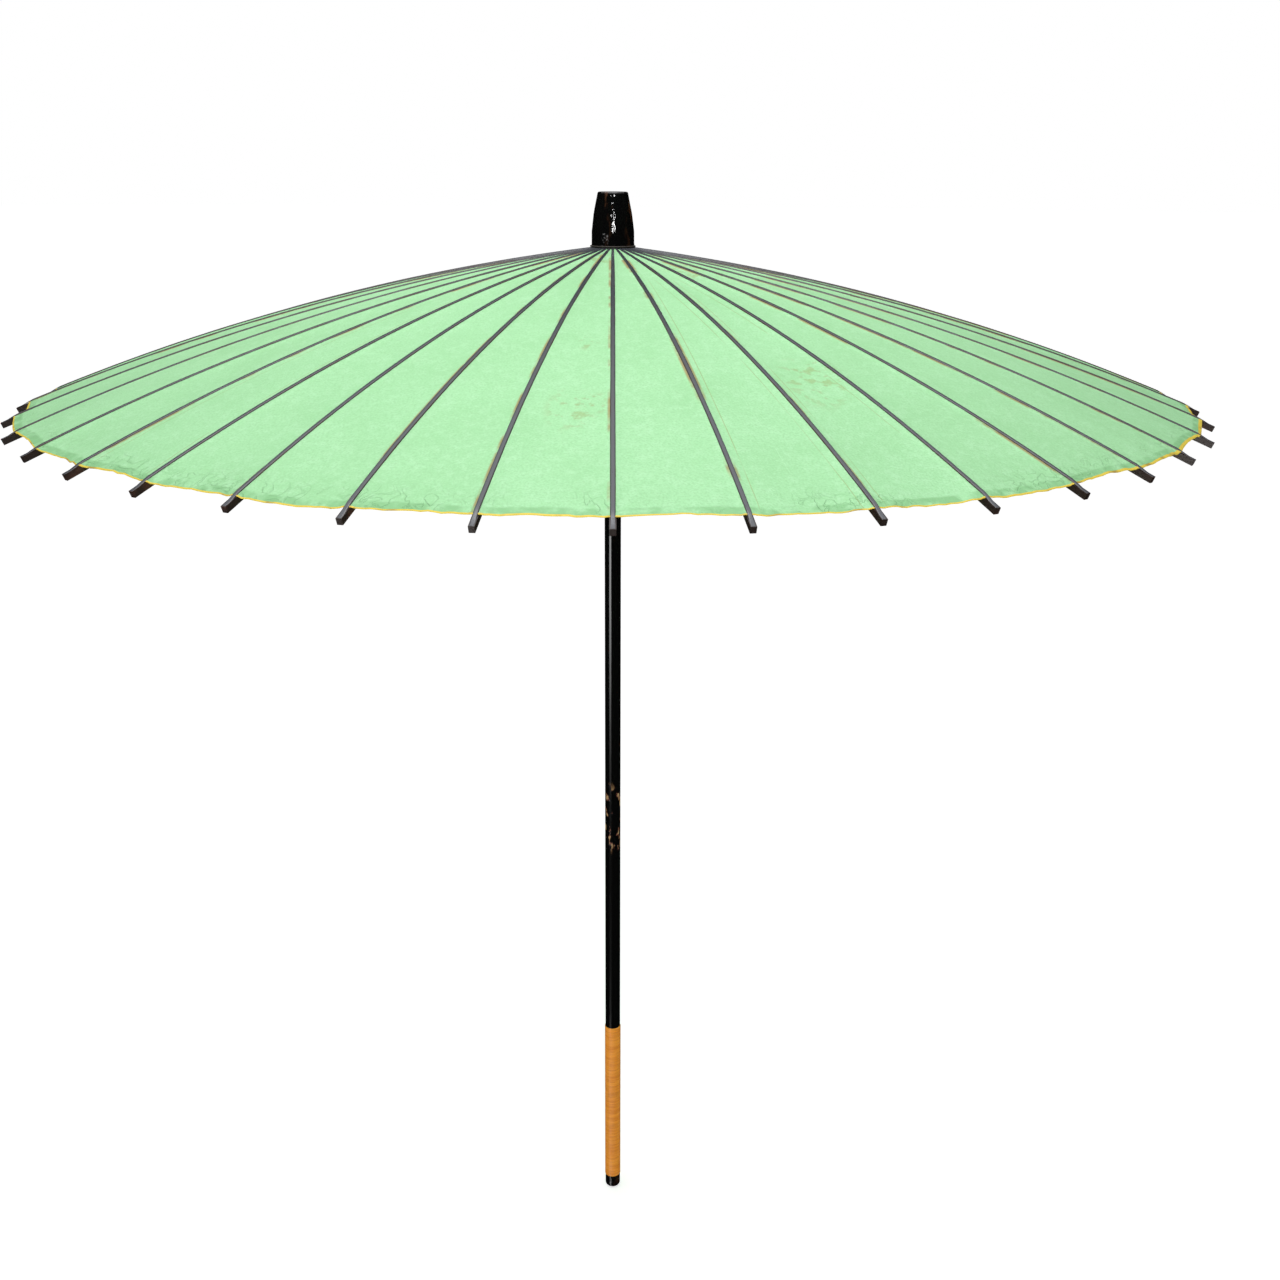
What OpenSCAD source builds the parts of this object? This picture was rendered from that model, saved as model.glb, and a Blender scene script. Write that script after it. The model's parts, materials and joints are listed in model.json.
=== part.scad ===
// Oil paper umbrella: a lacquered shaft with a notched head hub and a sliding runner, hinged
// bamboo ribs and stretchers, and a paper canopy over them. All sizes are in millimetres.
// +Z runs up the shaft, and the origin is at the middle of the shaft's lower end.
// The model is drawn open. Each rib turns on the hub cord and each stretcher on its rib.

/* [Canopy and ribs] */
// Radius of the circle that the rib tips lie on
tip_radius = 500; // [490:1:510]
// Height of the rib tips above the lower end
tip_height = 843; // [835:1:850]
// Number of ribs, with one stretcher for each
rib_count = 40; // [20:20:40]
// How far each rib bows up above the straight line from its hinge to its tip
rib_bow = 16; // [10:1:20]
// Width of a rib over most of its length
rib_width = 3.8; // [3:0.1:3.9]
// Depth of a rib, square to the paper
rib_depth = 4.5; // [4:0.1:5]
// Radius of the paper's edge
paper_radius = 490; // [475:1:491]
// Thickness of the oiled paper, with its glue
paper_thickness = 0.4; // [0.3:0.1:0.6]

/* [Head hub and cap] */
// Radius of the ring of rib hinges
hinge_radius = 14.5; // [14:0.1:15]
// Height of the rib hinges above the lower end
hinge_height = 969.5; // [965:0.5:972]
// Radius of the hub where its notches are
hub_radius = 16.9; // [16.5:0.1:17]
// Radius of the cap's foot
cap_foot_radius = 18.6; // [18:0.1:20]
// Radius of the cap's flat top
cap_top_radius = 13.1; // [12:0.1:14]
// Height of the cap
cap_height = 46; // [44:1:52]

/* [Runner and stretchers] */
// Straight distance from a rib's hinge to the stretcher's hinge in it
brace_distance = 210; // [200:1:220]
// Length of a stretcher between its two hinges
stretcher_length = 235; // [230:1:245]
// Width of a stretcher over most of its length
stretcher_width = 3; // [2.4:0.1:3]
// Depth of a stretcher
stretcher_depth = 3; // [2.6:0.1:3.2]
// Radius of the runner's notched flange
flange_radius = 17; // [16.6:0.1:17.4]
// Radius of the runner's barrel, which the hand pushes
barrel_radius = 11.2; // [10.5:0.1:11.4]
// Length of the barrel below the stretcher hinges
barrel_drop = 40; // [34:1:44]

/* [Shaft and grip] */
// Radius of the shaft
shaft_radius = 7.5; // [7.3:0.1:7.6]
// Radius over the rattan winding
grip_radius = 8.15; // [8:0.05:8.5]
// Height of the winding's lower end
grip_bottom = 13.5; // [12:0.5:16]
// Height of the winding's upper end
grip_top = 198.5; // [180:0.5:210]
// Radius of the rounded end
ferrule_radius = 7.7; // [7.6:0.1:8]

/* [Catch] */
// How far the tongue stands out of the shaft when it holds the runner
catch_reach = 3.3; // [2.5:0.1:3.4]
// Width of the tongue
catch_width = 2.4; // [2:0.1:2.6]

/* [Hidden] */

// Clearances
slot_width = 1.2;
blade_width = 0.9;
air = 0.3;
slide_air = 0.1;

// Threads
cord_radius = 0.45;
cord_hole = 0.7;
tunnel_radius = 0.6;

// A rib's centre line is an arc in the plane of its radius, from the hinge to the tip
chord_x = tip_radius - hinge_radius;
chord_z = hinge_height - tip_height;
chord = norm([chord_x, chord_z]);
arc_radius = chord * chord / (8 * rib_bow) + rib_bow / 2;
arc_x = (hinge_radius + tip_radius) / 2 - chord_z / chord * (arc_radius - rib_bow);
arc_z = (hinge_height + tip_height) / 2 - chord_x / chord * (arc_radius - rib_bow);
hinge_turn = atan2(hinge_height - arc_z, hinge_radius - arc_x);
tip_turn = atan2(tip_height - arc_z, tip_radius - arc_x);

// The stretcher's hinge, a little below the rib's centre line
brace_offset = 0.6;
brace_turn = hinge_turn - 2 * asin(brace_distance / (2 * arc_radius));
brace_x = arc_x + (arc_radius - brace_offset) * cos(brace_turn);
brace_z = arc_z + (arc_radius - brace_offset) * sin(brace_turn);
stretcher_run = brace_x - hinge_radius;
runner_z = brace_z - sqrt(stretcher_length * stretcher_length - stretcher_run * stretcher_run);
stretcher_turn = atan2(brace_z - runner_z, stretcher_run);

// Where a rib's sides start to widen and where they have widened
blade_end_x = 21.5;
full_width_x = 125;
blade_eye = rib_depth / 2;
stretcher_eye = stretcher_depth / 2;

// Runner
runner_bottom = runner_z - barrel_drop;
flange_half = 6;
collar_top = runner_z + 9;

// Cap
cap_foot = hinge_height + 2.9;
cap_top = cap_foot + cap_height;
cap_wall = 1.2;
shaft_top = cap_top - cap_wall;

// Catch, drawn in the plane of the +X axis and then turned to the front
catch_top = runner_bottom - 0.4;
catch_pin_x = 5;
catch_pin_z = catch_top - 35;
catch_face = shaft_radius + catch_reach;
catch_slot_x = 2.2;
catch_azimuth = -90;
catch_pin_radius = 0.6;

// Lower end
spigot_radius = 5.5;
spigot_bottom = 4;
ferrule_round = 3.2;

bench_every = rib_count / 5;
jointed = [for (k = [0 : bench_every : rib_count - 1]) k];
function is_jointed(k) = k % bench_every == 0;
function two_digits(k) = k < 10 ? str("0", k) : str(k);
function rib_name(k) = str("rib_", two_digits(k));
function stretcher_name(k) = str("stretcher_", two_digits(k));

// Height of a rib's arc at a distance from the shaft's axis, raised square to the arc
function arc_height(x, raised) =
    arc_z + sqrt(pow(arc_radius + raised, 2) - pow(x - arc_x, 2));

module turn_to(k) {
    rotate([0, 0, k * 360 / rib_count]) children();
}

// A round bar across the plane of the +X axis
module cross_bar(x, z, radius, length, sides = 32) {
    translate([x, 0, z]) rotate([90, 0, 0]) cylinder(r = radius, h = length, center = true, $fn = sides);
}

module ring(ring_radius, z, radius, from = 0, sweep = 360) {
    translate([0, 0, z]) rotate([0, 0, from])
        rotate_extrude(angle = sweep, $fn = 120) translate([ring_radius, 0]) circle(r = radius, $fn = 16);
}

// One notch for each rib or stretcher, from an inner radius out past the rim
module notches(inner, outer, bottom, top) {
    for (k = [0 : rib_count - 1])
        turn_to(k) translate([inner, -slot_width / 2, bottom]) cube([outer - inner, slot_width, top - bottom]);
}

module shaft() {
    color("#14110f") difference() {
        union() {
            translate([0, 0, grip_bottom]) cylinder(r = shaft_radius, h = shaft_top - grip_bottom, $fn = 64);
            translate([0, 0, spigot_bottom])
                cylinder(r = spigot_radius, h = grip_bottom - spigot_bottom + 1, $fn = 64);
        }
        rotate([0, 0, catch_azimuth]) {
            translate([catch_slot_x, -1.5, catch_pin_z - 2.5])
                cube([shaft_radius, 3, catch_top - catch_pin_z + 4.5]);
            cross_bar(catch_pin_x, catch_pin_z, catch_pin_radius, 20);
        }
    }
}

module grip_wrap() {
    color("#c07a1c") translate([0, 0, grip_bottom]) difference() {
        cylinder(r = grip_radius, h = grip_top - grip_bottom, $fn = 64);
        translate([0, 0, -1]) cylinder(r = shaft_radius, h = grip_top - grip_bottom + 2, $fn = 64);
    }
}

module end_ferrule() {
    color("#0c0b0b") difference() {
        rotate_extrude($fn = 64) union() {
            square([ferrule_radius - ferrule_round, grip_bottom]);
            translate([0, ferrule_round]) square([ferrule_radius, grip_bottom - ferrule_round]);
            intersection() {
                translate([ferrule_radius - ferrule_round, ferrule_round]) circle(r = ferrule_round, $fn = 48);
                square([ferrule_radius, ferrule_round]);
            }
        }
        translate([0, 0, spigot_bottom]) cylinder(r = spigot_radius, h = grip_bottom, $fn = 64);
    }
}

module head_hub() {
    notch_top = hinge_height + blade_eye + air;
    color("#b98f58") difference() {
        rotate_extrude($fn = 96) polygon([
            [shaft_radius, hinge_height - 6.5],
            [hub_radius - 1.2, hinge_height - 6.5],
            [hub_radius, hinge_height - 5.3],
            [hub_radius, hinge_height + 3],
            [hub_radius - 0.8, hinge_height + 3.8],
            [hub_radius - 1, hinge_height + 10],
            [10.5, hinge_height + 13],
            [10.5, hinge_height + 30],
            [shaft_radius, hinge_height + 30]
        ]);
        notches(hinge_radius - blade_eye - air, hub_radius + 2, hinge_height - 8, notch_top);
        ring(hinge_radius, hinge_height, tunnel_radius);
    }
}

module hub_cord() {
    color("#2a2320") ring(hinge_radius, hinge_height, cord_radius);
}

module head_cap() {
    inner_foot = hub_radius + 0.4;
    inner_top = cap_top_radius - cap_wall;
    shoulder = cap_foot + 0.3 * cap_height;
    middle = cap_foot + 0.6 * cap_height;
    color("#0b0a0a") rotate_extrude($fn = 96) polygon([
        [inner_foot, cap_foot],
        [cap_foot_radius, cap_foot],
        [cap_foot_radius - 0.4, cap_foot + 3],
        [cap_foot_radius - 0.5, shoulder],
        [cap_foot_radius - 2.2, middle],
        [cap_top_radius, cap_top - 1.5],
        [cap_top_radius - 1, cap_top],
        [0, cap_top],
        [0, shaft_top],
        [inner_top - 0.4, shaft_top],
        [cap_foot_radius - 3.4, middle],
        [cap_foot_radius - 1.7, shoulder],
        [inner_foot, cap_foot + 3]
    ]);
}

module cap_cord() {
    color("#1c1716") ring(cap_foot_radius + 0.5, cap_foot + 1.3, 0.6);
}

// The paper, a thin shell whose section follows the ribs' arc
module canopy() {
    steps = 16;
    inner = hub_radius + 0.5;
    under = rib_depth / 2 + air;
    reach = [for (i = [0 : steps]) inner + (paper_radius - inner) * i / steps];
    color("#a9ecae") rotate_extrude($fn = 160) polygon(concat(
        [for (x = reach) [x, arc_height(x, under)]],
        [for (i = [steps : -1 : 0]) [reach[i], arc_height(reach[i], under + paper_thickness)]]
    ));
}

module rim_cord() {
    radius = 0.8;
    at = paper_radius + radius + 0.2;
    color("#d8b52c") ring(at, arc_height(at, rib_depth / 2 + air + radius), radius);
}

// A rib in the plane of the +X axis
module rib_shape() {
    color("#1a1512") difference() {
        union() {
            intersection() {
                translate([arc_x, 0, arc_z]) rotate([90, 0, 0]) rotate([0, 0, tip_turn])
                    rotate_extrude(angle = hinge_turn - tip_turn, $fn = 720)
                        translate([arc_radius - rib_depth / 2, -rib_width / 2]) square([rib_depth, rib_width]);
                translate([0, 0, tip_height - 20]) linear_extrude(height = chord_z + 60) polygon([
                    [hinge_radius - 4, -blade_width / 2],
                    [blade_end_x, -blade_width / 2],
                    [full_width_x, -rib_width / 2],
                    [tip_radius + 9, -rib_width / 2],
                    [tip_radius + 9, rib_width / 2],
                    [full_width_x, rib_width / 2],
                    [blade_end_x, blade_width / 2],
                    [hinge_radius - 4, blade_width / 2]
                ]);
            }
            cross_bar(hinge_radius, hinge_height, blade_eye, blade_width);
        }
        cross_bar(hinge_radius, hinge_height, cord_hole, 6);
        // The slot that the stretcher folds into, with the thread left across it
        difference() {
            translate([brace_x, 0, brace_z]) rotate([0, 90 - brace_turn, 0])
                translate([-7, -slot_width / 2, -6]) cube([35, slot_width, 12]);
            cross_bar(brace_x, brace_z, cord_radius, 6);
        }
    }
}

// A stretcher in the plane of the +X axis, from the runner up to its rib
module stretcher_shape() {
    color("#8a5f33") translate([hinge_radius, 0, runner_z]) rotate([0, -stretcher_turn, 0]) difference() {
        union() {
            translate([0, 0, -stretcher_depth / 2]) linear_extrude(height = stretcher_depth) polygon([
                [0, -blade_width / 2],
                [8, -blade_width / 2],
                [100, -stretcher_width / 2],
                [stretcher_length - 31, -stretcher_width / 2],
                [stretcher_length - 28, -blade_width / 2],
                [stretcher_length, -blade_width / 2],
                [stretcher_length, blade_width / 2],
                [stretcher_length - 28, blade_width / 2],
                [stretcher_length - 31, stretcher_width / 2],
                [100, stretcher_width / 2],
                [8, blade_width / 2],
                [0, blade_width / 2]
            ]);
            cross_bar(0, 0, stretcher_eye, blade_width);
            cross_bar(stretcher_length, 0, stretcher_eye, blade_width);
        }
        cross_bar(0, 0, cord_hole, 6);
        cross_bar(stretcher_length, 0, cord_hole, 6);
    }
}

module stretchers() {
    for (k = [0 : rib_count - 1])
        if (!is_jointed(k)) turn_to(k) stretcher_shape();
}

module runner() {
    color("#b98f58") difference() {
        rotate_extrude($fn = 96) polygon([
            [shaft_radius + slide_air, runner_bottom],
            [barrel_radius - 1, runner_bottom],
            [barrel_radius, runner_bottom + 1],
            [barrel_radius, runner_bottom + 7],
            [barrel_radius - 0.8, runner_bottom + 8],
            [barrel_radius - 0.8, runner_bottom + 10],
            [barrel_radius, runner_bottom + 11],
            [barrel_radius, runner_z - flange_half],
            [flange_radius - 1, runner_z - flange_half],
            [flange_radius, runner_z - flange_half + 1],
            [flange_radius, runner_z + flange_half - 1],
            [flange_radius - 1, runner_z + flange_half],
            [barrel_radius, runner_z + flange_half],
            [barrel_radius - 1, collar_top],
            [shaft_radius + slide_air, collar_top]
        ]);
        notches(hinge_radius - stretcher_eye - air, flange_radius + 2, runner_z - 8, runner_z + 8);
        ring(hinge_radius, runner_z, tunnel_radius);
    }
}

// The thread through the runner, left out beside each stretcher that has a joint of its own
module runner_cord() {
    gap = 360 / rib_count * 0.7;
    color("#2a2320") for (k = jointed)
        ring(hinge_radius, runner_z, cord_radius, k * 360 / rib_count + gap / 2, 360 / len(jointed) - gap);
}

module catch_tongue() {
    color("#caa25e") rotate([0, 0, catch_azimuth]) difference() {
        union() {
            rotate([90, 0, 0]) linear_extrude(height = catch_width, center = true) polygon([
                [catch_pin_x - 1.6, catch_pin_z],
                [catch_pin_x + 1.6, catch_pin_z],
                [catch_face, catch_top - 3],
                [catch_face, catch_top],
                [catch_pin_x + 1.6, catch_top]
            ]);
            cross_bar(catch_pin_x, catch_pin_z, 2, catch_width);
        }
        cross_bar(catch_pin_x, catch_pin_z, catch_pin_radius + 0.05, 6);
    }
}

module catch_pin() {
    color("#8d8d90") rotate([0, 0, catch_azimuth])
        cross_bar(catch_pin_x, catch_pin_z, catch_pin_radius, 9.8);
}

// A leaf spring behind the tongue, standing on the floor of the slot
module catch_spring() {
    color("#b9b9bc") rotate([0, 0, catch_azimuth]) rotate([90, 0, 0])
        linear_extrude(height = 2, center = true) polygon([
            [catch_slot_x, catch_pin_z + 6],
            [catch_slot_x + 0.4, catch_pin_z + 6],
            [catch_slot_x + 0.4, catch_pin_z + 14],
            [catch_slot_x + 3.1, catch_pin_z + 27],
            [catch_slot_x + 2.7, catch_pin_z + 27],
            [catch_slot_x, catch_pin_z + 14.5]
        ]);
}

shaft();
grip_wrap();
end_ferrule();
head_hub();
hub_cord();
head_cap();
cap_cord();
canopy();
rim_cord();
stretchers();
runner();
runner_cord();
catch_tongue();
catch_pin();
catch_spring();
for (k = [0 : rib_count - 1])
    turn_to(k) rib_shape();
for (k = jointed)
    turn_to(k) stretcher_shape();
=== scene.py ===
"""Looks of an open oil paper umbrella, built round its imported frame.

Forty lacquered ribs carry a pale green paper canopy. Each rib has its own gore of paper, edging and lacquer
line, so that the canopy folds with the ribs. A black cap covers the hub, and rattan is wound round the grip.
All sizes are in metres, and the frame's nodes and joints say where things are.
"""

import json
import logging
import math
from collections.abc import Callable, Sequence
from dataclasses import dataclass
from enum import Enum

import bpy
from mathutils import Matrix, Vector, noise

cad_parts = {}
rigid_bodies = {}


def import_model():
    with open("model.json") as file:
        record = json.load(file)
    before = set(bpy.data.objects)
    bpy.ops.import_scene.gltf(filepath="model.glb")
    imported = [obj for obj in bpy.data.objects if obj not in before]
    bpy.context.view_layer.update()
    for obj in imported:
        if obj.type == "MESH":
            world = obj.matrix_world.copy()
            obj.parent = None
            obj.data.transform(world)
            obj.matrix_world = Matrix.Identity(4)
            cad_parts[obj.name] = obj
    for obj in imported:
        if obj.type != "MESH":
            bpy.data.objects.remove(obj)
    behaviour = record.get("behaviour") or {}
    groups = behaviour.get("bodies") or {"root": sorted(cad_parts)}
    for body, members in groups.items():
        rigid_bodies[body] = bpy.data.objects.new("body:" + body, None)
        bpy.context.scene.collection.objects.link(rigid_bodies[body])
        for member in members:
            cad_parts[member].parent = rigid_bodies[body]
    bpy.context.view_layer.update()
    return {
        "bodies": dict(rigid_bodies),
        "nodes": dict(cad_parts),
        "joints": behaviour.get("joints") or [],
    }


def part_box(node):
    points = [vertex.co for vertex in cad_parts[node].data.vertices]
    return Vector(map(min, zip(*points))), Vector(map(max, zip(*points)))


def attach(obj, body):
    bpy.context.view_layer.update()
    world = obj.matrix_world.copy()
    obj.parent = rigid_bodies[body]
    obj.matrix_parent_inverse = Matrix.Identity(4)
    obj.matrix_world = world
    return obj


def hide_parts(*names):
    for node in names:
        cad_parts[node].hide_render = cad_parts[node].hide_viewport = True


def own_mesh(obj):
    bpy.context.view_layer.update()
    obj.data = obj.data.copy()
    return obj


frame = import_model()

LOG = logging.getLogger("umbrella")
MM = 0.001
Colour = tuple[float, float, float]
Pair = tuple[float, float]
Pairs = Sequence[Pair]
SheetPoint = tuple[Vector, dict[str, float]]
Piece = bpy.types.Object
Material = bpy.types.Material


class Slot(Enum):
    """Material slots of the record, which each layer names."""

    CAP = "cap_lacquer"
    PAPER = "oiled_paper"
    RIB = "rib_lacquer"
    BAMBOO = "bamboo"
    RATTAN = "rattan"
    EDGING = "rim_yellow"


# Small helpers for numbers and meshes


def ease(value: float, start: float, end: float) -> float:
    """Smooth step of a value between two limits, which may run downwards.

    Args:
        value: The number to judge.
        start: Where the result is 0.
        end: Where the result is 1.

    Returns:
        A share from 0 to 1.
    """
    share = min(1.0, max(0.0, (value - start) / (end - start)))
    return share * share * (3 - 2 * share)


def between(x: float, points: Pairs) -> float:
    """Height of a line through points at x, level past its ends.

    Args:
        x: Where to read the line.
        points: Pairs of place and height, in rising order.

    Returns:
        The height there.
    """
    if x <= points[0][0]:
        return points[0][1]
    for (x0, y0), (x1, y1) in zip(points, points[1:]):
        if x <= x1:
            return y0 + (y1 - y0) * ease(x, x0, x1)
    return points[-1][1]


def deselect_all() -> None:
    """Leaves nothing selected, so that the next operator acts on its own piece."""
    for obj in bpy.context.selected_objects:
        obj.select_set(False)
    bpy.context.view_layer.objects.active = None


def pick(piece: Piece) -> None:
    """Selects one piece alone and makes it active.

    Args:
        piece: The piece.
    """
    deselect_all()
    piece.select_set(True)
    bpy.context.view_layer.objects.active = piece


def newest(name: str) -> Piece:
    """Names the piece that an operator has just added.

    Args:
        name: The piece's name.

    Returns:
        The piece.
    """
    piece = bpy.context.active_object
    piece.name = name
    piece.data.name = name
    return piece


def settle(piece: Piece) -> None:
    """Moves a piece's place into its mesh."""
    pick(piece)
    bpy.ops.object.transform_apply(location=True, rotation=True, scale=True)


def apply_modifiers(piece: Piece) -> None:
    """Applies a piece's modifiers in order.

    Args:
        piece: The piece.
    """
    pick(piece)
    for name in [m.name for m in piece.modifiers]:
        bpy.ops.object.modifier_apply(modifier=name)


def smooth(piece: Piece, degrees: float) -> None:
    """Shades a piece smooth, apart from edges sharper than an angle."""
    pick(piece)
    bpy.ops.object.shade_smooth_by_angle(angle=math.radians(degrees))


def select_points(piece: Piece, chosen: Callable[[Vector], bool]) -> None:
    """Selects, in edit mode, the points that a test accepts.

    Args:
        piece: A mesh piece in edit mode.
        chosen: Test of a point's place.
    """
    bpy.ops.mesh.select_mode(type="VERT")
    bpy.ops.mesh.select_all(action="DESELECT")
    bpy.ops.object.mode_set(mode="OBJECT")
    for vertex in piece.data.vertices:
        vertex.select = chosen(vertex.co)
    bpy.ops.object.mode_set(mode="EDIT")


def dress(piece: Piece, material: Material) -> None:
    """Gives a piece one material in all its slots.

    Args:
        piece: The piece.
        material: The material.
    """
    if not piece.material_slots:
        piece.data.materials.append(material)
    for slot in piece.material_slots:
        slot.material = material


def turned(name: str, profile: Pairs, sides: int) -> Piece:
    """Turns a round piece: a circle extruded and scaled from ring to ring.

    Args:
        name: The piece's name.
        profile: Radius and height of each ring, from the first to the last.
        sides: Points in a ring.

    Returns:
        An open shell of rings round the Z axis.
    """
    deselect_all()
    radius, height = profile[0]
    bpy.ops.mesh.primitive_circle_add(vertices=sides, radius=radius, location=(0, 0, height))
    piece = newest(name)
    settle(piece)
    bpy.ops.object.mode_set(mode="EDIT")
    bpy.ops.mesh.select_all(action="SELECT")
    for next_radius, next_height in profile[1:]:
        rise = {"value": (0, 0, next_height - height)}
        bpy.ops.mesh.extrude_region_move(TRANSFORM_OT_translate=rise)
        scale = next_radius / radius
        bpy.ops.transform.resize(value=(scale, scale, 1), center_override=(0, 0, next_height))
        radius, height = next_radius, next_height
    bpy.ops.object.mode_set(mode="OBJECT")
    return piece


def outward(piece: Piece) -> None:
    """Merges doubles and turns a closed shape's faces outwards.

    Args:
        piece: The piece.
    """
    pick(piece)
    bpy.ops.object.mode_set(mode="EDIT")
    bpy.ops.mesh.select_all(action="SELECT")
    bpy.ops.mesh.remove_doubles(threshold=0.01 * MM)
    bpy.ops.mesh.normals_make_consistent(inside=False)
    bpy.ops.object.mode_set(mode="OBJECT")


def copy_of_node(node: str, name: str, turn: float) -> Piece:
    """Copies a frame node's shape as a piece of its own, turned round the shaft.

    Args:
        node: The frame node.
        name: The new piece's name.
        turn: Angle round the Z axis, in radians.

    Returns:
        The new piece, at rest in its own place.
    """
    mesh = frame["nodes"][node].data.copy()
    mesh.transform(Matrix.Rotation(turn, 4, "Z"))
    mesh.materials.clear()
    piece = bpy.data.objects.new(name, mesh)
    bpy.context.scene.collection.objects.link(piece)
    outward(piece)
    return piece


def joint(name: str) -> dict:
    """A joint of the frame by its name."""
    return next(j for j in frame["joints"] if j["name"] == name)


# Node trees


class Wire:
    """An output socket that takes part in sums."""

    def __init__(self, bench: "Bench", socket: bpy.types.NodeSocket) -> None:
        """Keeps the socket and the bench that it belongs to."""
        self.bench = bench
        self.socket = socket

    def __add__(self, other: "Wire | float") -> "Wire":
        """Sum."""
        return self.bench.maths("ADD", self, other)

    def __sub__(self, other: "Wire | float") -> "Wire":
        """Difference."""
        return self.bench.maths("SUBTRACT", self, other)

    def __rsub__(self, other: float) -> "Wire":
        """Difference from a number."""
        return self.bench.maths("SUBTRACT", other, self)

    def __mul__(self, other: "Wire | float") -> "Wire":
        """Product."""
        return self.bench.maths("MULTIPLY", self, other)

    def __truediv__(self, other: "Wire | float") -> "Wire":
        """Quotient."""
        return self.bench.maths("DIVIDE", self, other)

    def __abs__(self) -> "Wire":
        """Size without sign."""
        return self.bench.maths("ABSOLUTE", self)

    __radd__ = __add__
    __rmul__ = __mul__


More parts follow.
